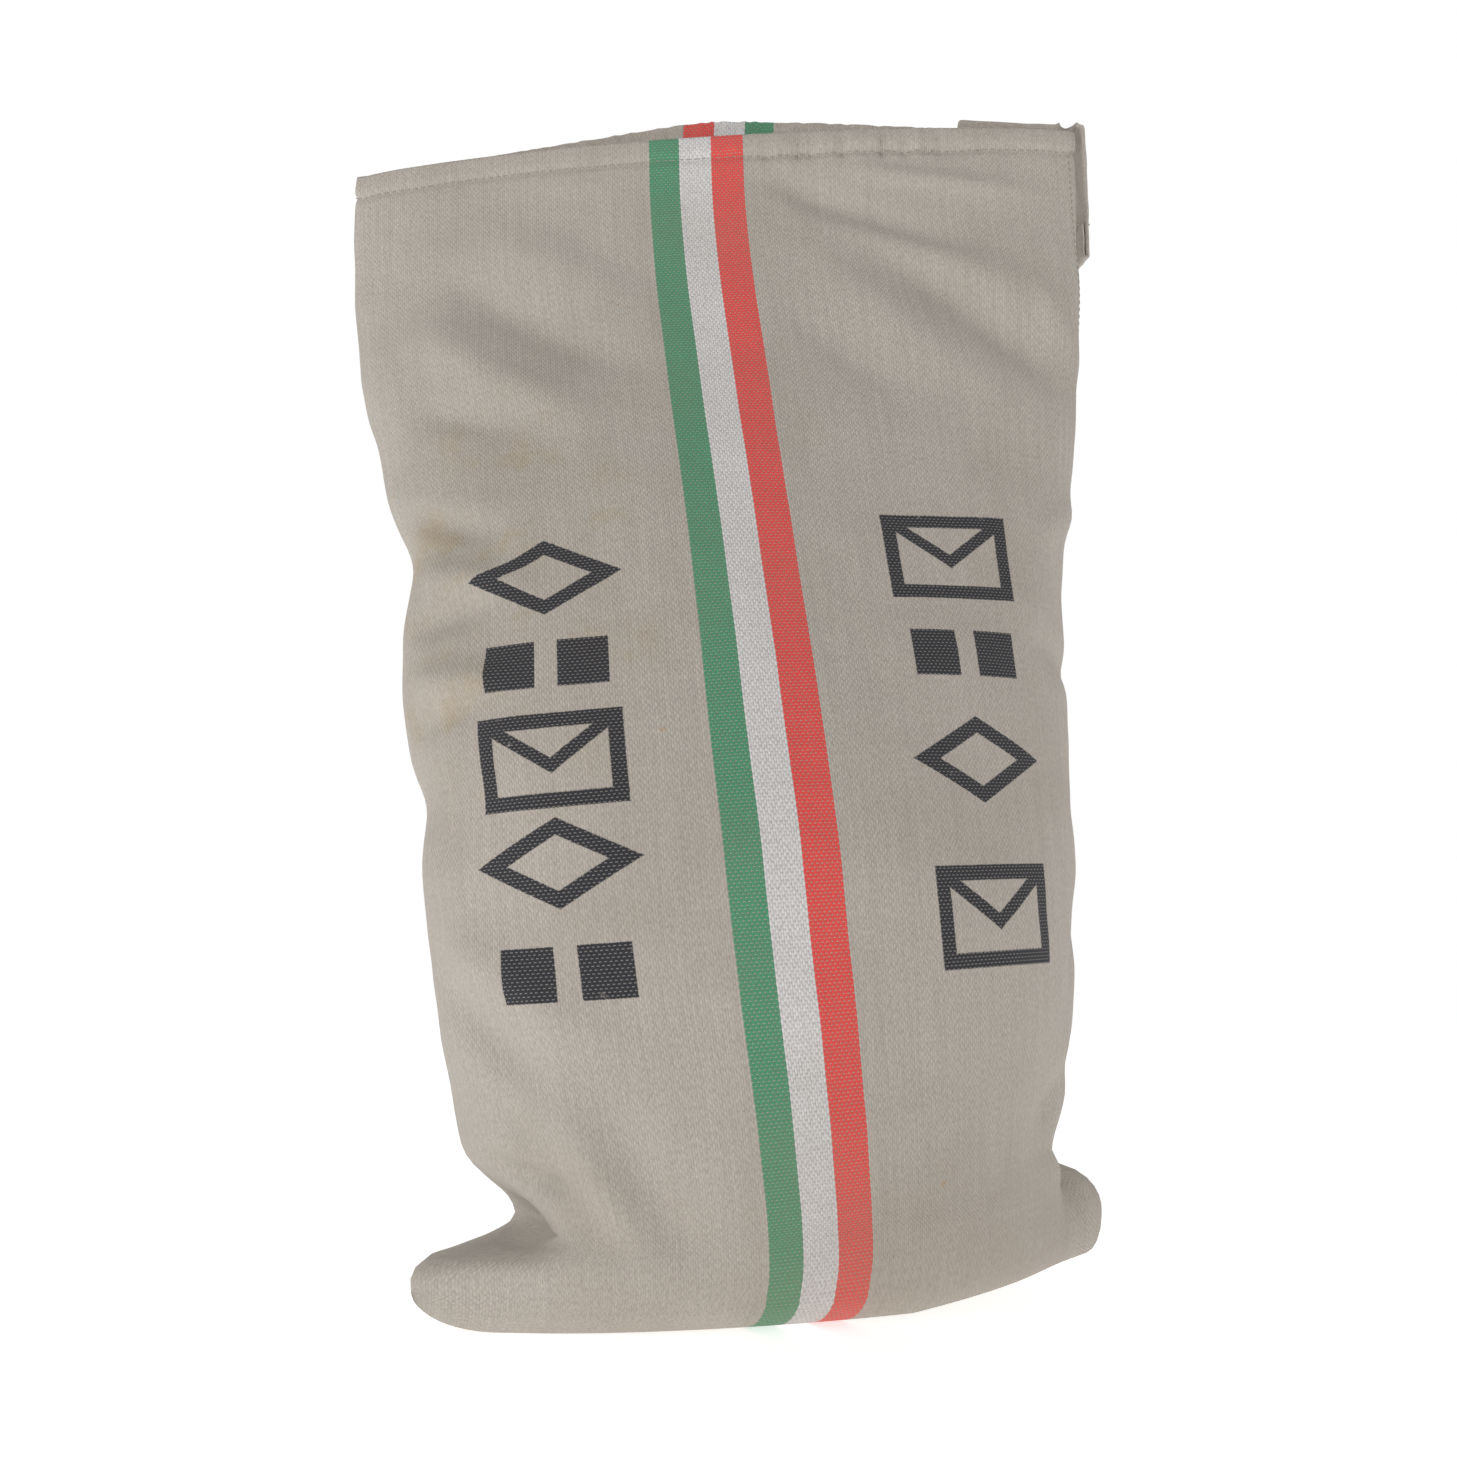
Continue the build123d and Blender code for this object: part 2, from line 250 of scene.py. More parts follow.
def outward(points):
    """Unit normals of a grid that closes round its columns."""
    across = np.roll(points, -1, 1) - np.roll(points, 1, 1)
    normal = np.cross(across, np.gradient(points, axis=0))
    return normal / np.maximum(np.linalg.norm(normal, axis=-1, keepdims=True), 1e-9)


# Soft folds, on the flat cloth: start, end, half width, height (below 0 a trough)
FOLDS = [
    ((0.36, 1.000), (0.58, 0.960), 0.010, 0.0040),
    ((0.31, 1.000), (0.50, 0.900), 0.013, -0.0076),
    ((0.36, 0.965), (0.55, 0.850), 0.018, 0.0084),
    ((0.40, 0.940), (0.58, 0.760), 0.020, -0.0102),
    ((0.34, 0.930), (0.52, 0.740), 0.024, 0.0074),
    ((0.31, 0.880), (0.44, 0.740), 0.016, -0.0030),
    ((0.53, 0.900), (0.59, 0.780), 0.012, 0.0045),
    ((0.05, 0.930), (0.24, 0.780), 0.020, -0.0092),
    ((0.02, 0.880), (0.20, 0.730), 0.022, 0.0084),
    ((0.08, 0.970), (0.26, 0.840), 0.022, 0.0040),
    ((0.02, 0.790), (0.14, 0.740), 0.013, -0.0050),
    ((0.00, 0.690), (0.11, 0.650), 0.012, -0.0070),
    ((0.00, 0.640), (0.13, 0.600), 0.014, 0.0075),
    ((0.00, 0.585), (0.10, 0.595), 0.012, -0.0080),
    ((0.00, 0.545), (0.12, 0.530), 0.012, 0.0065),
    ((0.00, 0.500), (0.09, 0.520), 0.011, -0.0050),
    ((0.49, 0.560), (0.60, 0.520), 0.013, -0.0050),
    ((0.51, 0.640), (0.60, 0.680), 0.014, 0.0045),
    ((0.01, 0.340), (0.12, 0.235), 0.014, -0.0070),
    ((0.02, 0.370), (0.16, 0.270), 0.018, 0.0060),
    ((0.02, 0.205), (0.12, 0.180), 0.008, -0.0120),
    ((0.05, 0.260), (0.13, 0.150), 0.016, -0.0040),
    ((0.10, 0.270), (0.17, 0.110), 0.016, 0.0055),
    ((0.14, 0.250), (0.20, 0.090), 0.018, -0.0045),
    ((0.02, 0.170), (0.14, 0.130), 0.014, 0.0050),
    ((0.550, 0.085), (0.558, 0.250), 0.011, -0.0165),
    ((0.524, 0.100), (0.530, 0.270), 0.016, 0.0070),
    ((0.52, 0.270), (0.58, 0.370), 0.014, -0.0055),
    ((0.47, 0.180), (0.56, 0.250), 0.012, -0.0050),
    ((0.68, 0.980), (0.86, 0.800), 0.018, -0.0060),
    ((0.74, 0.930), (0.95, 0.720), 0.024, 0.0065),
    ((0.62, 0.700), (0.72, 0.620), 0.014, -0.0065),
    ((0.98, 0.960), (1.14, 0.860), 0.018, -0.0050),
    ((1.08, 0.900), (1.19, 0.760), 0.018, 0.0065),
    ((1.10, 0.650), (1.19, 0.600), 0.014, -0.0070),
    ((1.08, 0.250), (1.18, 0.350), 0.016, -0.0080),
    ((0.64, 0.200), (0.76, 0.300), 0.016, -0.0085),
    ((0.86, 0.560), (1.00, 0.450), 0.030, 0.0050),
    ((0.78, 0.420), (0.90, 0.330), 0.022, -0.0045),
]


def fold_heights(u, v):
    total = np.zeros_like(u)
    for (u0, v0), (u1, v1), width, height in FOLDS:
        du, dv = u1 - u0, v1 - v0
        length = math.hypot(du, dv)
        along = ((u - u0) * du + (v - v0) * dv) / length
        curve = 0.10 * along * (length - along) / length
        across = ((u - u0) * -dv + (v - v0) * du) / length + curve
        ends = smooth(along / (0.4 * length)) * smooth((length - along) / (0.4 * length))
        total += height * bell(across, width) * ends
    return total


def uneven(u, v, size, seed):
    """Smooth unevenness of about +-1 that closes round the girth."""
    turn = 2 * math.pi * u.ravel() / GIRTH
    radius = GIRTH / (2 * math.pi)
    places = np.stack([radius * np.cos(turn), radius * np.sin(turn), v.ravel()], 1) / size + seed
    return np.array([noise.noise(place) for place in places.tolist()]).reshape(u.shape)


def hem_relief(u, below):
    """The rolled hem, drawn in along its stitches, and the little gathers that hang from them."""
    rounded = np.sqrt(np.clip(1 - ((below - 0.009) / 0.011) ** 2, 0, 1))
    roll = HEM_ROLL * (0.4 + 0.6 * smooth((u - 0.26) / 0.05)) * rounded
    groove = -HEM_GROOVE * bell(below - HEM_STITCHES, 0.0035)
    front_gathers = smooth((u - 0.30) / 0.05) * smooth((0.56 - u) / 0.12)
    back_gathers = 0.8 * smooth((u - 0.66) / 0.08) * smooth((1.10 - u) / 0.10)
    strength = 0.15 + front_gathers + back_gathers
    groove *= 0.6 + 0.7 * strength
    turns = u / GATHER_PITCH + 0.55 * np.sin(u * 71) + 0.35 * np.sin(u * 173 + 1)
    wave = np.sin(2 * math.pi * turns)
    gathers = GATHER_HEIGHT * wave * strength * bell(below - HEM_STITCHES + 0.004, 0.014)
    return roll + groove + gathers


u_line = np.arange(COLUMNS) * GIRTH / COLUMNS
shares = row_shares()
cloth = filled_cloth(shares, u_line)
row_gaps = np.linalg.norm(np.diff(cloth, axis=0), axis=-1)
v_line = np.concatenate([[0], np.cumsum(row_gaps.mean(1))])
u_grid = np.repeat(u_line[None], len(v_line), 0)
v_grid = np.repeat(v_line[:, None], COLUMNS, 1)
from_mouth = np.concatenate([np.cumsum(row_gaps[::-1], 0)[::-1], np.zeros((1, COLUMNS))])
relief = fold_heights(u_grid, v_grid)
for height, size, seed in UNEVENNESS:
    relief = relief + height * uneven(u_grid, v_grid, size, seed)
# it fades out at the bottom seam and towards the hem
relief = relief * smooth((v_grid - 0.06) / 0.10) * (0.35 + 0.65 * smooth(from_mouth / 0.05))
cloth = cloth + outward(cloth) * (relief + hem_relief(u_grid, from_mouth))[..., None]
cloth[..., 2] = np.maximum(cloth[..., 2], 0)
cloth_out = outward(cloth)


def on_cloth(u, below):
    """The point, the way out and the way up of the cloth at u, a distance below the mouth edge."""
    place = u / GIRTH * COLUMNS
    k0 = int(math.floor(place)) % COLUMNS
    k1, t = (k0 + 1) % COLUMNS, place - math.floor(place)
    found = []
    for k in (k0, k1):
        order = from_mouth[::-1, k]
        found.append([
            np.array([np.interp(depth, order, field[::-1, k, axis]) for axis in range(3)])
            for field, depth in ((cloth, below), (cloth_out, below), (cloth, below - 0.003))
        ])
    point, out, above = (a * (1 - t) + b * t for a, b in zip(*found))
    up = above - point
    return point, out / np.linalg.norm(out), up / max(np.linalg.norm(up), 1e-9)


# ---------------------------------------------------------------- making pieces
def make_piece(name, points, faces, uvs=None):
    mesh = bpy.data.meshes.new(name)
    mesh.from_pydata([tuple(map(float, p)) for p in points], [], faces)
    if uvs is not None:
        mesh.uv_layers.new(name="cloth").data.foreach_set("uv", np.asarray(uvs, np.float32).ravel())
    mesh.shade_smooth()
    mesh.update()
    piece = bpy.data.objects.new(name, mesh)
    bpy.context.scene.collection.objects.link(piece)
    return piece


def with_modifiers_applied(piece):
    graph = bpy.context.evaluated_depsgraph_get()
    mesh = bpy.data.meshes.new_from_object(piece.evaluated_get(graph))
    piece.modifiers.clear()
    piece.data = mesh
    return piece


def thicken(piece, thickness):
    solid = piece.modifiers.new("thickness", "SOLIDIFY")
    solid.thickness = thickness
    solid.offset = -1
    return with_modifiers_applied(piece)


def sack_piece():
    """The cloth with its mouth edge turned over and the hem running back down inside."""
    up = cloth[-1] - cloth[-2]
    up /= np.linalg.norm(up, axis=-1, keepdims=True)
    extra, extra_v = [], []
    for turn in (45, 90, 135, 180):
        a = math.radians(turn)
        over = cloth_out[-1] * (math.cos(a) - 1) + up * math.sin(a)
        extra.append(cloth[-1] + RIM_RADIUS * over)
        extra_v.append(v_line[-1] + RIM_RADIUS * a)
    for step in range(1, HEM_ROWS + 1):
        drop = HEM_WIDTH * step / HEM_ROWS
        row = np.array([on_cloth(u, drop)[0] for u in u_line])
        extra.append(row + extra[3] - cloth[-1])
        extra_v.append(extra_v[3] + drop)
    grid = np.concatenate([cloth, np.array(extra)])
    heights = np.concatenate([v_line, extra_v])
    rows, columns = grid.shape[:2]
    index = np.arange(rows * columns).reshape(rows, columns)
    # along the bottom seam each front point is sewn to its mirror image at the back
    index[0] = np.minimum(index[0], index[0][-np.arange(columns)])
    faces, uvs = [], []
    for r in range(rows - 1):
        for k in range(columns):
            n = (k + 1) % columns
            corners = [int(i) for i in (index[r, k], index[r, n], index[r + 1, n], index[r + 1, k])]
            low, high = u_line[k], u_line[k] + GIRTH / columns
            faces.append(corners)
            uvs.extend([(low, heights[r]), (high, heights[r])])
            uvs.extend([(high, heights[r + 1]), (low, heights[r + 1])])
    piece = make_piece("sack_cloth_woven", grid.reshape(-1, 3), faces, uvs)
    return thicken(piece, CANVAS)


def stitched(name, places):
    """One small rounded stitch at each place: its middle, its direction and the way out."""
    # rings of points along a stitch: where, and how thick
    ring, rings = 6, ((-0.5, 0.30), (-0.36, 0.85), (0.0, 1.0), (0.36, 0.85), (0.5, 0.30))
    bulge = 0.78
    points, faces = [], []
    for middle, along, out in places:
        side = np.cross(along, out)
        first = len(points)
        for share, size in rings:
            sink = (1 - size) * 0.6
            for step in range(ring):
                a = 2 * math.pi * step / ring
                offset = (side * math.cos(a) + out * math.sin(a)) * THREAD / 2 * size
                place = middle + along * STITCH * share + offset
                points.append(place + out * THREAD * (bulge - 0.5 - sink))
        for r in range(len(rings) - 1):
            for step in range(ring):
                a, b = first + r * ring + step, first + r * ring + (step + 1) % ring
                faces.append((a, b, b + ring, a + ring))
        faces.append(tuple(first + step for step in reversed(range(ring))))
        faces.append(tuple(first + (len(rings) - 1) * ring + step for step in range(ring)))
    return make_piece(name, points, faces)


def hem_stitch_places():
    """Stitches along the hem, outside and, in the gaps between those, inside."""
    places = []
    count = int(GIRTH / STITCH_PITCH)
    for step in range(count):
        u = GIRTH * (step + 0.5) / count
        point, out, _ = on_cloth(u, HEM_STITCHES)
        ahead = on_cloth((u + 0.003) % GIRTH, HEM_STITCHES)[0]
        along = ahead - on_cloth((u - 0.003) % GIRTH, HEM_STITCHES)[0]
        along /= np.linalg.norm(along)
        places.append((point, along, out))
        u = (u + GIRTH / count / 2) % GIRTH
        point, out, _ = on_cloth(u, HEM_STITCHES)
        places.append((point - out * (2 * RIM_RADIUS), along, -out))
    return places


def seam_stitch_places():
    """Topstitching beside the right-hand edge, front and back, from the hem to above the ear."""
    places = []
    for u in (PANEL - SEAM_STITCHES, PANEL + SEAM_STITCHES):
        for step in range(int(SEAM_STITCHED / STITCH_PITCH)):
            below = HEM_STITCHES + 0.004 + step * STITCH_PITCH
            point, out, up = on_cloth(u, below)
            places.append((point, up, out))
    return places


def bottom_seam_stations():
    """Stations along the allowance inside, on the bottom cloth behind the bottom seam."""
    line = cloth[0, 1 : COLUMNS // 2]
    from_middle = np.hypot(line[:, 0] - SECTIONS[0, 1], line[:, 1] - SECTIONS[0, 2])
    line = line[from_middle < ALLOWANCE_REACH]
    stations = []
    for along, place in zip(np.gradient(line, axis=0), line):
        across = np.cross((0, 0, 1), along)
        across /= np.linalg.norm(across)
        out = np.cross(along, across)
        out /= np.linalg.norm(out)
        stations.append((place + out * (CANVAS + ALLOWANCE_THICK / 2 + 0.0006), across, out))
    return stations


def side_seam_stations():
    """Stations down the allowance folded inside the right-hand edge, below the hem."""
    column = COLUMNS // 2
    low, high = SIDE_FOLD_HEIGHTS
    rows = [r for r in range(0, len(cloth), 2) if low < cloth[r, column, 2] < high]
    edge = cloth[rows, column]
    inner = (cloth[rows, column - 3] + cloth[rows, column + 3]) / 2
    stations = []
    for along, place, towards in zip(np.gradient(edge, axis=0), edge, inner - edge):
        across = towards / np.linalg.norm(towards)
        out = np.cross(along, across)
        middle = place + across * (CANVAS + 0.0008 + ALLOWANCE_SIDE / 2)
        stations.append((middle, across, out / np.linalg.norm(out)))
    return stations


def bottom_stitch_places(stations):
    places = []
    for i in range(1, len(stations) - 1):
        middle, _, out = stations[i]
        along = stations[i + 1][0] - stations[i - 1][0]
        places.append((middle + out * ALLOWANCE_THICK / 2, along / np.linalg.norm(along), out))
    return places


# ---------------------------------------------------------------- the closing strap
STRAP_WIDTH = 0.028
STRAP_LAYER = 0.0017            # the strap is canvas doubled lengthwise
STRAP_START, STRAP_LEAVES = 0.176, 0.260     # x of its sewn end, and where it leaves the hem
STRAP_MIDDLE = 0.108            # y of its hanging part
STRAP_HINGE = (0.279, 0.942)    # x and z of the bend
MOUTH_EDGE_LEFT, MOUTH_SPAN = -0.331, 0.604  # x of the back hem's left end, and its length
SEWN_BOX = (0.184, 0.229)       # x of the stitched box
STRAP_STITCH_EDGE = 0.003
STRAP_STITCH_PITCH = 0.0055
BEND = 0.0035                   # radius over the mouth corner
TURN = 0.0019                   # radius of the turned-back end
TURNED_BACK = 0.031
STRAP_ABOVE = 0.012             # above the back edge
STRAP_END_STITCHES = 0.8555     # height of the row through the turned-back end
# Stations of the strap's stretches, in order from the sewn end
SEWN_STATIONS, TWIST_STATIONS, BEND_STATIONS = 16, 10, 6
TAIL_STATIONS, TURN_STATIONS, BACK_STATIONS = 18, 7, 7


def strap_path():
    """Stations along the strap: middle of its width, the way across it, and the way out."""
    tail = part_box("closing_strap_tail")
    hinge_x, hinge_z = STRAP_HINGE
    stations = []
    # behind the back hem, from the sewn end to the corner
    for x in np.linspace(STRAP_START, STRAP_LEAVES, SEWN_STATIONS):
        u = GIRTH - (x - MOUTH_EDGE_LEFT) / MOUTH_SPAN * PANEL
        point, out, up = on_cloth(u, 0.003)
        middle = point + up * (STRAP_ABOVE + 0.003 - STRAP_WIDTH / 2) + out * 0.0022
        middle[0] = x
        stations.append((middle, up, out))
    # it twists over the corner: its width turns from upright to level, upper edge above the hem
    last_middle, last_up, last_out = stations[-1]
    level = np.array([-0.15, 0.989, 0.0])
    goal = np.array([hinge_x - 0.003, STRAP_MIDDLE, hinge_z + 0.003])
    first_top = last_middle[2] + STRAP_WIDTH / 2 * last_up[2]
    for step in range(1, TWIST_STATIONS + 1):
        t = step / TWIST_STATIONS
        turn = math.radians(90) * smooth(t)
        across = last_up * math.cos(turn) + level * math.sin(turn)
        out = last_out * math.cos(turn) + np.array([0.1, 0, 1]) * math.sin(turn)
        middle = last_middle + (goal - last_middle) * np.array([t, smooth(t), 0])
        middle[2] = first_top + (goal[2] - first_top) * t - STRAP_WIDTH / 2 * math.cos(turn)
        middle[2] += 0.007 * math.sin(math.pi * t)
        stations.append((middle, across / np.linalg.norm(across), out / np.linalg.norm(out)))
    # over the corner and down beside it
    top = stations[-1][0]
    for step in range(1, BEND_STATIONS + 1):
        a = math.radians(90) * step / BEND_STATIONS
        middle = top + BEND * np.array([math.sin(a), 0, math.cos(a) - 1])
        stations.append((middle, level, np.array([math.sin(a), 0, math.cos(a)])))
    top = stations[-1][0]
    foot = tail[0].z + TURN
    for step in range(1, TAIL_STATIONS + 1):
        t = step / TAIL_STATIONS
        bow = 0.0006 * math.sin(math.pi * t)
        middle = np.array([top[0] + bow, STRAP_MIDDLE, top[2] + (foot - top[2]) * t])
        stations.append((middle, level, np.array([1.0, 0, 0])))
    # the end turned back up on the side of the sack
    low = stations[-1][0]
    for step in range(1, TURN_STATIONS + 1):
        a = math.radians(180) * step / TURN_STATIONS
        middle = low + TURN * np.array([math.cos(a) - 1, 0, -math.sin(a)])
        stations.append((middle, level, np.array([math.cos(a), 0, -math.sin(a)])))
    low = stations[-1][0]
    for step in range(1, BACK_STATIONS + 1):
        middle = low + np.array([0, 0, TURNED_BACK * step / BACK_STATIONS])
        stations.append((middle, level, np.array([-1.0, 0, 0])))
    return stations


def strap_stitch_places(stations):
    """The stitched box that holds the sewn end, and the row that holds the turned-back end."""
    box, row = [], []
    edge = STRAP_WIDTH / 2 - STRAP_STITCH_EDGE
    box_start, box_end = SEWN_BOX
    sewn = [i for i in range(1, SEWN_STATIONS) if box_start < stations[i][0][0] < box_end]
    for i in sewn:
        middle, across, out = stations[i]
        along = stations[i + 1][0] - stations[i - 1][0]
        along = along / np.linalg.norm(along)
        for side in (-edge, edge):
            box.append((middle + across * side + out * STRAP_LAYER, along, out))
    for i in (sewn[0], sewn[-1]):
        middle, across, out = stations[i]
        for side in np.arange(-edge + 0.005, edge - 0.004, STRAP_STITCH_PITCH):
            box.append((middle + across * side + out * STRAP_LAYER, across, out))
    tail_start = SEWN_STATIONS + TWIST_STATIONS + BEND_STATIONS
    hanging, turned_back = stations[tail_start:][:TAIL_STATIONS], stations[-BACK_STATIONS:]
    for part in (hanging, turned_back):
        nearest = min(part, key=lambda station: abs(station[0][2] - STRAP_END_STITCHES))
        middle, across, out = nearest
        for side in np.arange(-edge, edge + 0.001, STRAP_STITCH_PITCH):
            place = middle + across * side + out * STRAP_LAYER
            row.append((np.array([place[0], place[1], STRAP_END_STITCHES]), across, out))
    return box, row


def ribbon(name, stations, width, thickness, across_count=12):
    """A strip of doubled cloth along the stations: a closed flat tube with rounded edges."""
    points, faces, uvs = [], [], []
    half = width / 2
    outline = []
    for step in range(across_count + 1):
        t = -1 + 2 * step / across_count
        outline.append((t * (half - thickness / 2), thickness / 2))
    outline.append((half, 0.0))
    for step in range(across_count + 1):
        t = 1 - 2 * step / across_count
        outline.append((t * (half - thickness / 2), -thickness / 2))
    outline.append((-half, 0.0))
    count = len(outline)
    travelled = 0.0
    lengths = []
    for i, (middle, across, out) in enumerate(stations):
        if i:
            travelled += float(np.linalg.norm(middle - stations[i - 1][0]))
        lengths.append(travelled)
        out = out - across * np.dot(out, across)
        out = out / np.linalg.norm(out)
        for a, b in outline:
            soft = 0.00025 * math.sin(a * 420 + i * 0.9) + 0.0002 * math.sin(i * 1.7 + a * 150)
            points.append(middle + across * a + out * (b + soft))
    sides = [math.dist(outline[i], outline[(i + 1) % count]) for i in range(count)]
    around = np.concatenate([[0], np.cumsum(sides)])
    for i in range(len(stations) - 1):
        for k in range(count):
            n = (k + 1) % count
            faces.append((i * count + k, i * count + n, (i + 1) * count + n, (i + 1) * count + k))
            uvs.extend([(around[k], lengths[i]), (around[k + 1], lengths[i]),
                        (around[k + 1], lengths[i + 1]), (around[k], lengths[i + 1])])
    last = (len(stations) - 1) * count
    faces.append(tuple(reversed(range(count))))
    uvs.extend([(outline[k][0] + half, 0.0) for k in reversed(range(count))])
    faces.append(tuple(last + k for k in range(count)))
    uvs.extend([(outline[k][0] + half, lengths[-1]) for k in range(count)])
    piece = make_piece(name, points, faces, uvs)
    smoother = piece.modifiers.new("softer", "SUBSURF")
    smoother.levels = smoother.render_levels = 1
    return with_modifiers_applied(piece)


# ---------------------------------------------------------------- materials
class Field:
    """A number that varies over a surface, built from Math nodes by ordinary arithmetic."""

    def __init__(self, tree, socket):
        self.tree, self.socket = tree, socket

    def op(self, operation, *others):
        node = self.tree.nodes.new("ShaderNodeMath")
        node.operation = operation
        for place, value in zip(node.inputs, (self, *others)):
            set_input(self.tree, place, value)
        return Field(self.tree, node.outputs[0])

    def __add__(self, other):
        return self.op("ADD", other)

    def __sub__(self, other):
        return self.op("SUBTRACT", other)

    def __mul__(self, other):
        return self.op("MULTIPLY", other)

    def __truediv__(self, other):
        return self.op("DIVIDE", other)

    def __neg__(self):
        return self.op("MULTIPLY", -1.0)

    def __abs__(self):
        return self.op("ABSOLUTE")

    __radd__, __rmul__ = __add__, __mul__

    def __rsub__(self, other):
        return -self + other

    def floor(self):
        return self.op("FLOOR")

    def fraction(self):
        return self.op("FRACT")

    def sine(self):
        return self.op("SINE")

    def least(self, other):
        return self.op("MINIMUM", other)

    def most(self, other):
        return self.op("MAXIMUM", other)

    def over(self, limit):
        return self.op("GREATER_THAN", limit)

    def rise(self, low, high, floor=0.0, top=1.0):
        """floor below low, top above high, and a smooth step between them."""
        node = self.tree.nodes.new("ShaderNodeMapRange")
        node.interpolation_type = "SMOOTHSTEP"
        for place, value in zip(node.inputs, (self, low, high, floor, top)):
            set_input(self.tree, place, value)
        return Field(self.tree, node.outputs[0])


def set_input(tree, place, value):
    if isinstance(value, Field):
        tree.links.new(value.socket, place)
    else:
        place.default_value = value


def mix(tree, share, first, second):
    """Colour between two colours, each a Field or a linear (r, g, b)."""
    node = tree.nodes.new("ShaderNodeMix")
    node.data_type = "RGBA"
    set_input(tree, node.inputs[0], share)
    for place, value in ((node.inputs[6], first), (node.inputs[7], second)):
        set_input(tree, place, value if isinstance(value, Field) else (*value, 1.0))
    return Field(tree, node.outputs[2])


def vector(tree, x, y, z=0.0):
    node = tree.nodes.new("ShaderNodeCombineXYZ")
    for place, value in zip(node.inputs, (x, y, z)):
        set_input(tree, place, value)
    return Field(tree, node.outputs[0])


def cloudiness(tree, place, scale, detail=3.0, roughness=0.55):
    """Noise from 0 to 1 at a place, with about `scale` blots to the metre."""
    node = tree.nodes.new("ShaderNodeTexNoise")
    node.inputs["Scale"].default_value = scale
    node.inputs["Detail"].default_value = detail
    node.inputs["Roughness"].default_value = roughness
    set_input(tree, node.inputs["Vector"], place)
    return Field(tree, node.outputs[0])


def cloth_place(tree):
    """The flat-cloth coordinates u and v."""
    uv = tree.nodes.new("ShaderNodeUVMap")
    uv.uv_map = "cloth"
    split = tree.nodes.new("ShaderNodeSeparateXYZ")
    tree.links.new(uv.outputs[0], split.inputs[0])
    return Field(tree, split.outputs[0]), Field(tree, split.outputs[1])


def body_place(tree):
    """The place on the object itself, for stains that run across its folds."""
    node = tree.nodes.new("ShaderNodeTexCoord")
    return Field(tree, node.outputs["Object"])


def linear(r, g, b):
    """A colour given in the usual 0 to 255, as linear light."""
    return tuple(
        (c / 255 / 12.92) if c <= 10 else ((c / 255 + 0.055) / 1.055) ** 2.4
        for c in (r, g, b)
    )


WARP, WEFT = 0.00173, 0.00245   # pitch of the upright and the level yarns
STRIPE_WRAP = 0.3               # u of the wrap from one stripe to the other, before its middle
STAIN_MIDDLE, STAIN_SIZE = (0.10, 0.60), (0.13, 0.19)    # u and v of the yellow stains
CLOTH_COLOUR = linear(187, 179, 169)
WEFT_COLOUR = linear(196, 190, 182)
DUST = linear(112, 102, 88)
GREY_BROWN = linear(132, 118, 98)
YELLOW_STAIN = linear(164, 138, 84)
FOOT_DIRT = linear(128, 112, 92)
RUST_SPOT = linear(176, 128, 66)
FUZZ = linear(210, 202, 190)
THREAD_COLOURS = linear(138, 130, 117), linear(176, 168, 155)
GREEN = linear(12, 144, 98)
WHITE = linear(226, 224, 224)
RED = linear(240, 34, 32)
INK = linear(27, 31, 41)


def weave(u, v):
    """A plain weave: the number of the upright yarn, where it is on top, and the height."""
    warp, weft = u / WARP, v / WEFT
    yarn, row = warp.floor(), weft.floor()
    across, along = warp - yarn - 0.5, weft - row - 0.5
    warp_wave = ((weft + yarn) * math.pi).sine()
    weft_wave = ((warp + row) * math.pi).sine()
    warp_height = warp_wave * 0.55 - across * across * 2.6 + 1.02
    weft_height = weft_wave * -0.55 - along * along * 2.4
    height = warp_height.most(weft_height)
    on_top = (warp_height - weft_height).rise(-0.08, 0.08)
    return yarn, on_top, height


LEFT_COLUMN, RIGHT_COLUMN = 0.131, 0.434     # u of the middle of each column of marks
MARK_HALF_WIDTH, MARK_STROKE = 0.046, 0.0054
BLOCK, BLOCK_OFFSET = 0.018, 0.026           # half size of a square, and its place


def frame_mark(x, y, half_x, half_y, stroke):
    """A hollow rectangle: below 0 on the stroke."""
    return abs((abs(x) - half_x).most(abs(y) - half_y)) - stroke


def block_marks(x, y):
    """Two filled squares side by side."""
    return (abs(abs(x) - BLOCK_OFFSET) - BLOCK).most(abs(y) - BLOCK)


def slanted(x, y, half_x, half_y):
    """Distance outside a diamond."""
    size = math.hypot(half_x, half_y)
    return (abs(x) * half_y + abs(y) * half_x - half_x * half_y) * (1 / size)


def diamond_mark(x, y, half_x, half_y, stroke):
    return abs(slanted(x, y, half_x, half_y)) - stroke


def envelope_mark(x, y, half_x, half_y, stroke):
    """An envelope: a hollow rectangle with its flap."""
    flap = abs(slanted(x, y - half_y, half_x, half_y * 1.15)) - stroke * 0.85
    inside = (abs(x) - half_x).most(abs(y) - half_y)
    return frame_mark(x, y, half_x, half_y, stroke).least(flap.most(inside))


def stamp_marks(u, v):
    """Two columns of plain marks, as a distance in metres that is below 0 on the ink."""
    stroke, wide = MARK_STROKE, MARK_HALF_WIDTH
    left, right = u - LEFT_COLUMN, u - RIGHT_COLUMN
    marks = [
        diamond_mark(left, v - 0.608, wide, 0.025, stroke),
        block_marks(left, v - 0.538),
        envelope_mark(left, v - 0.466, wide, 0.029, stroke),
        diamond_mark(left, v - 0.394, wide, 0.025, stroke),
        block_marks(left, v - 0.321),
        envelope_mark(right, v - 0.613, wide, 0.030, stroke),
        block_marks(right, v - 0.533),
        diamond_mark(right, v - 0.452, wide, 0.026, stroke),
        envelope_mark(right, v - 0.340, wide, 0.030, stroke),
    ]
    nearest = marks[0]
    for mark in marks[1:]:
        nearest = nearest.least(mark)
    return nearest


def times(colour, factor):
    return tuple(c * factor for c in colour)


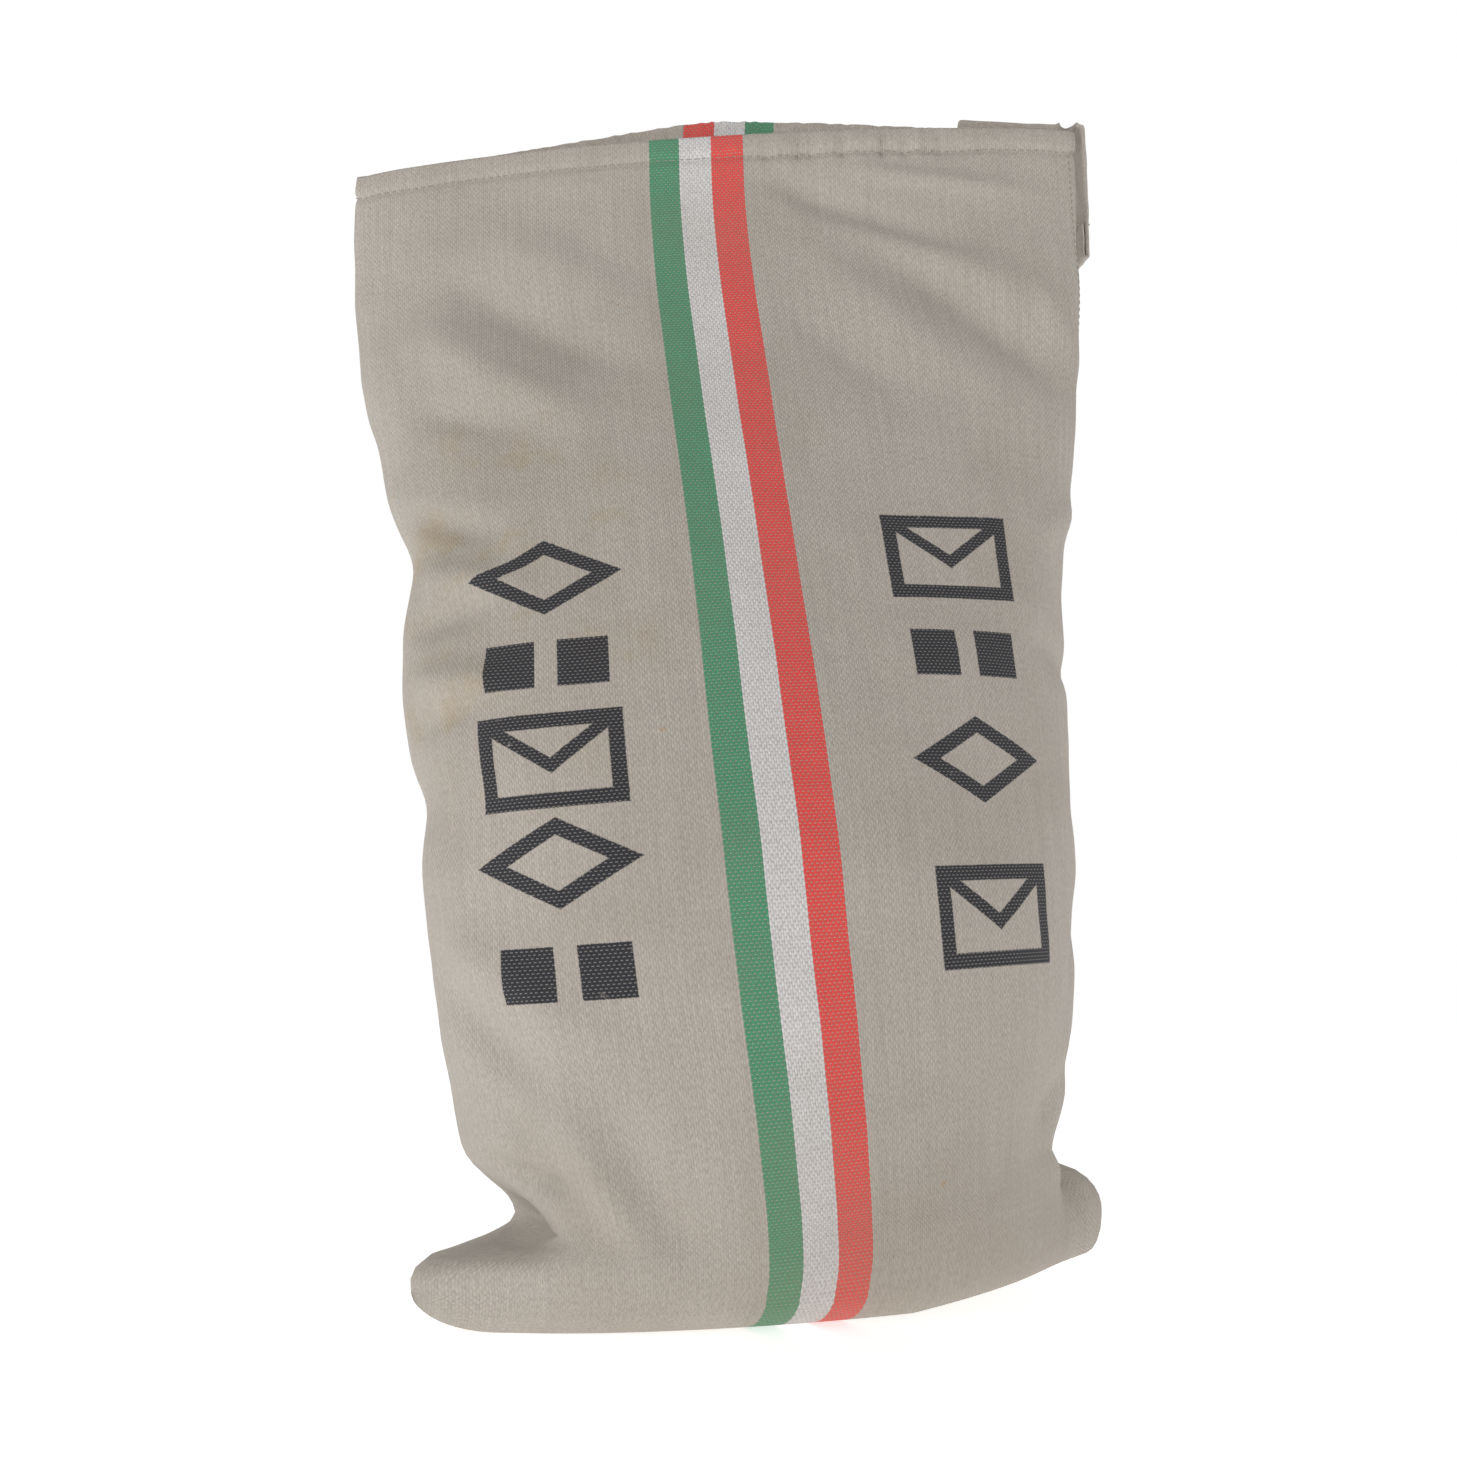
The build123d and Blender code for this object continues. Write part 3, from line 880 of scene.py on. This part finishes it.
def new_material(name, roughness, sheen):
    material = bpy.data.materials.new(name)
    material.use_nodes = True
    shader = material.node_tree.nodes["Principled BSDF"]
    shader.inputs["Roughness"].default_value = roughness
    shader.inputs["Specular IOR Level"].default_value = 0.25
    shader.inputs["Sheen Weight"].default_value = sheen
    shader.inputs["Sheen Roughness"].default_value = 0.6
    return material, material.node_tree, shader


def add_bump(tree, shader, height, distance, strength):
    bump = tree.nodes.new("ShaderNodeBump")
    bump.inputs["Strength"].default_value = strength
    bump.inputs["Distance"].default_value = distance
    set_input(tree, bump.inputs["Height"], height)
    tree.links.new(bump.outputs[0], shader.inputs["Normal"])


def canvas_material(name, printed):
    """Unbleached woven canvas; printed, it has the sack's stripes, marks and stains."""
    material, tree, shader = new_material(name, 0.9, 0.08)
    u, v = cloth_place(tree)
    yarn, on_top, height = weave(u, v)
    yarn_tone = cloudiness(tree, vector(tree, yarn * 7.31, v * 9.0), 1.0, 2.0)
    row_tone = cloudiness(tree, vector(tree, u * 8.0, (v / WEFT).floor() * 5.77), 1.0, 2.0)
    warp_colour = mix(tree, yarn_tone, times(CLOTH_COLOUR, 0.82), times(CLOTH_COLOUR, 1.18))
    weft_colour = mix(tree, row_tone, times(WEFT_COLOUR, 0.86), times(WEFT_COLOUR, 1.12))
    if printed:
        # both stripes have the same order of colours, so u is wrapped from one to the other
        between = BACK_STRIPE - FRONT_STRIPE
        from_wrap = yarn * WARP + (WARP / 2 + STRIPE_WRAP - FRONT_STRIPE)
        place = (from_wrap / between).fraction() * between - STRIPE_WRAP
        for shift, colour in ((-1, GREEN), (0, WHITE), (1, RED)):
            band = 1 - (abs(place - shift * STRIPE_BAND) - STRIPE_BAND / 2).over(0.0)
            warp_colour = mix(tree, band * (0.90 + yarn_tone * 0.10), warp_colour, colour)
            weft_colour = mix(tree, band * 0.30, weft_colour, colour)
    colour = mix(tree, on_top * 0.93 + 0.03, weft_colour, warp_colour)
    slubs = cloudiness(tree, vector(tree, u, v * 0.7), 430.0, 3.0, 0.7)
    colour = mix(tree, slubs.rise(0.38, 0.66) * 0.26, colour, DUST)
    # painted shade: the colour is darkened towards black in the low gaps between the yarns
    painted_crevice_shade = height.rise(0.0, 0.95, 0.76, 1.0)
    colour = mix(tree, painted_crevice_shade, (0.0, 0.0, 0.0), colour)
    here = body_place(tree)
    # soft grey and brown patches, and yellow stains on the left of the front
    patches = cloudiness(tree, here, 7.0, 4.0)
    colour = mix(tree, patches.rise(0.42, 0.75) * 0.20, colour, GREY_BROWN)
    if printed:
        aside = (u - STAIN_MIDDLE[0]) / STAIN_SIZE[0]
        above = (v - STAIN_MIDDLE[1]) / STAIN_SIZE[1]
        near = 1 - (aside * aside + above * above)
        stain = cloudiness(tree, here, 16.0, 5.0, 0.65)
        stained = near.rise(-0.2, 0.8) * stain.rise(0.48, 0.70)
        colour = mix(tree, stained * 0.42, colour, YELLOW_STAIN)
        low = v.rise(0.10, 0.32, 1.0, 0.0) * cloudiness(tree, here, 5.0, 3.0).rise(0.35, 0.6)
        colour = mix(tree, low * 0.16, colour, FOOT_DIRT)
        spots = cloudiness(tree, here, 60.0, 1.0).rise(0.79, 0.82)
        colour = mix(tree, spots * 0.4, colour, RUST_SPOT)
    fuzz = cloudiness(tree, vector(tree, u, v), 1800.0, 2.0)
    crumple = cloudiness(tree, here, 45.0, 4.0)
    colour = mix(tree, fuzz * 0.10, colour, FUZZ)
    if printed:
        wobble = cloudiness(tree, vector(tree, u, v), 700.0, 2.0)
        edge = stamp_marks(u, v) + (wobble - 0.5) * 0.0016
        wear = cloudiness(tree, vector(tree, u, v), 55.0, 5.0, 0.7)
        inside = edge.rise(-0.0005, 0.0005, 1.0, 0.0)
        ink = inside * wear.rise(0.22, 0.36) * (on_top * 0.50 + 0.50)
        colour = mix(tree, ink * 0.95, colour, INK)
    set_input(tree, shader.inputs["Base Color"], colour)
    add_bump(tree, shader, height * 0.00033 + fuzz * 0.00010 + crumple * 0.0015, 1.0, 0.85)
    return material


def thread_material(name):
    """Waxed two-ply thread, with its twist."""
    material, tree, shader = new_material(name, 0.7, 0.1)
    here = body_place(tree)
    twist = cloudiness(tree, here, 900.0, 2.0)
    colour = mix(tree, twist, *THREAD_COLOURS)
    set_input(tree, shader.inputs["Base Color"], colour)
    add_bump(tree, shader, twist * 0.0003, 1.0, 0.6)
    return material


# ---------------------------------------------------------------- the pieces on their bodies
MOUTH_HINGE = 0.560             # height from which the weight for bowing the front out rises; the weight is not applied
MOUTH_MIDDLE, MOUTH_HALF = -0.030, 0.290    # x of the middle of the mouth, and half its width


def bow_with_mouth(piece):
    """Bakes the piece's placing into its points and works out a weight for the front to bow out
    most in its middle and not at the side folds; the weight is not applied, so nothing moves.
    """
    low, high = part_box("mouth_front_cloth")
    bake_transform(piece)
    co = np.zeros(len(piece.data.vertices) * 3)
    piece.data.vertices.foreach_get("co", co)
    x, y, z = co.reshape(-1, 3).T
    middle_y = through(SECTIONS, np.clip(z, 0, 0.969))[:, 1]
    up = smooth((z - MOUTH_HINGE) / (high.z - MOUTH_HINGE) * 1.4)
    across = np.clip(1 - ((x - MOUTH_MIDDLE) / MOUTH_HALF) ** 2, 0, 1) ** 1.2
    weight = np.where(y < middle_y, up * across, 0.0)


canvas = canvas_material("printed_canvas", True)
plain_canvas = canvas_material("plain_canvas", False)
thread = thread_material("thread")

sack = sack_piece()
sack.data.materials.append(canvas)
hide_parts("sack_cloth", "mouth_front_cloth", "mouth_hem", "mouth_front_hem")
bow_with_mouth(sack)

hem_stitches = stitched("hem_stitches", hem_stitch_places())
hem_stitches.data.materials.append(thread)
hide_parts("mouth_hem_thread", "mouth_front_thread")
bow_with_mouth(hem_stitches)

seam_stitches = stitched("side_seam_stitches", seam_stitch_places())
seam_stitches.data.materials.append(thread)
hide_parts("side_seam_thread")
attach(seam_stitches, "root")

strap_stations = strap_path()
strap = ribbon("closing_strap_webbing", strap_stations, STRAP_WIDTH, 2 * STRAP_LAYER)
strap.data.materials.append(plain_canvas)
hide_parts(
    "closing_strap_root", "closing_strap_bend", "closing_strap_tail", "closing_strap_turned_end",
)
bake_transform(strap)

box_places, row_places = strap_stitch_places(strap_stations)
for name, node, body, places in (
    ("strap_box_stitches", "closing_strap_root_thread", "root", box_places),
    ("strap_end_stitches", "closing_strap_end_thread", "closing_strap", row_places),
):
    stitches = stitched(name, places)
    stitches.data.materials.append(thread)
    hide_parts(node)
    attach(stitches, body)

bottom_stations = bottom_seam_stations()
for name, node, stations, width in (
    ("bottom_seam_fold", "bottom_seam_allowance", bottom_stations, ALLOWANCE_BOTTOM),
    ("side_seam_fold", "side_seam_allowance", side_seam_stations(), ALLOWANCE_SIDE),
):
    allowance = ribbon(name, stations, width, ALLOWANCE_THICK, 6)
    allowance.data.materials.append(plain_canvas)
    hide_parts(node)
    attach(allowance, "root")

bottom_stitches = stitched("bottom_seam_stitches", bottom_stitch_places(bottom_stations))
bottom_stitches.data.materials.append(thread)
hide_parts("bottom_seam_thread")
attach(bottom_stitches, "root")


# ---------------------------------------------------------------- floor, light and camera
def area_light(name, place, aim, size, power):
    lamp = bpy.data.lights.new(name, "AREA")
    lamp.shape = "SQUARE"
    lamp.size = size
    lamp.energy = power
    holder = bpy.data.objects.new(name, lamp)
    holder.location = place
    holder.rotation_euler = (Vector(aim) - Vector(place)).to_track_quat("-Z", "Y").to_euler()
    bpy.context.scene.collection.objects.link(holder)


def studio():
    floor = make_piece("floor", [(-8, -8, 0), (8, -8, 0), (8, 8, 0), (-8, 8, 0)], [(0, 1, 2, 3)])
    pale = bpy.data.materials.new("pale_floor")
    pale.use_nodes = True
    shader = pale.node_tree.nodes["Principled BSDF"]
    shader.inputs["Base Color"].default_value = (0.85, 0.85, 0.85, 1)
    shader.inputs["Emission Color"].default_value = (1, 1, 1, 1)
    shader.inputs["Emission Strength"].default_value = 0.65
    shader.inputs["Roughness"].default_value = 0.8
    floor.data.materials.append(pale)
    world = bpy.data.worlds.new("studio")
    world.use_nodes = True
    background = world.node_tree.nodes["Background"]
    background.inputs[1].default_value = 1.0
    tree = world.node_tree
    way = tree.nodes.new("ShaderNodeTexCoord")
    split = tree.nodes.new("ShaderNodeSeparateXYZ")
    tree.links.new(way.outputs["Generated"], split.inputs[0])
    x, y, z = (Field(tree, split.outputs[axis]) for axis in range(3))
    # white behind the sack, dimmer in front of it and dimmest above
    dim = (1.08 - z * 0.98 + x * 0.10).least(1.0)
    grey = vector(tree, dim, dim, dim)
    set_input(tree, background.inputs[0], mix(tree, y.rise(0.48, 0.74), grey, (1.0, 1.0, 1.0)))
    bpy.context.scene.world = world
    area_light("key", (-2.2, -1.5, 0.40), (0, 0, 0.25), 0.6, 15)


studio()
bpy.context.scene.view_settings.view_transform = "Standard"

CAMERA_PLACE = (-0.021, -1.196, 0.22)
CAMERA_PITCH = 9.0
SENSOR, LENS = 36, 40.2745      # in millimetres
camera = bpy.data.cameras.new("camera")
camera.sensor_width = SENSOR
camera.lens = LENS
viewer = bpy.data.objects.new("camera", camera)
viewer.location = CAMERA_PLACE
viewer.rotation_euler = (math.radians(90 + CAMERA_PITCH), 0, 0)
bpy.context.scene.collection.objects.link(viewer)
bpy.context.scene.camera = viewer
